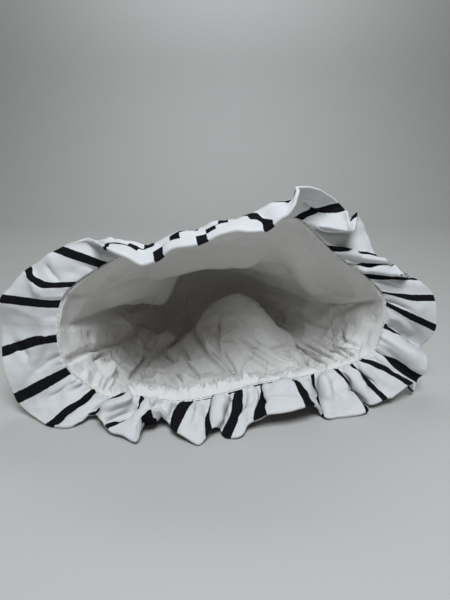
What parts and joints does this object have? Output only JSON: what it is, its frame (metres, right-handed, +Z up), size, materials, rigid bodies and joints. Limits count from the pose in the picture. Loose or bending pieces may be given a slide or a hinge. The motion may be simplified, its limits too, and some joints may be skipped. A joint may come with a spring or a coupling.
{
  "type": "child's sun hat with ruffle brim",
  "caption": "Soft lined crown lying on its side, open at the head, with a gathered striped ruffle brim all round the opening.",
  "frame": {"origin": "centre of the bounding box's base, on the table that the hat lies on", "axes": "+Z up, +Y from the head opening into the crown, +X to the right as seen through the opening"},
  "size_m": [0.2707, 0.1792, 0.1335],
  "materials": {
    "crown": "woven cotton with black stripes",
    "lining": "plain white cotton",
    "nape_band": "plain white cotton, gathered",
    "brim": "woven cotton with black stripes"
  },
  "bodies": {
    "root": {"crown_upper": "crown", "crown_lower": "crown", "lining": "lining", "nape_band": "nape_band", "brim_upper": "brim", "brim_lower": "brim"}
  },
  "joints": []
}
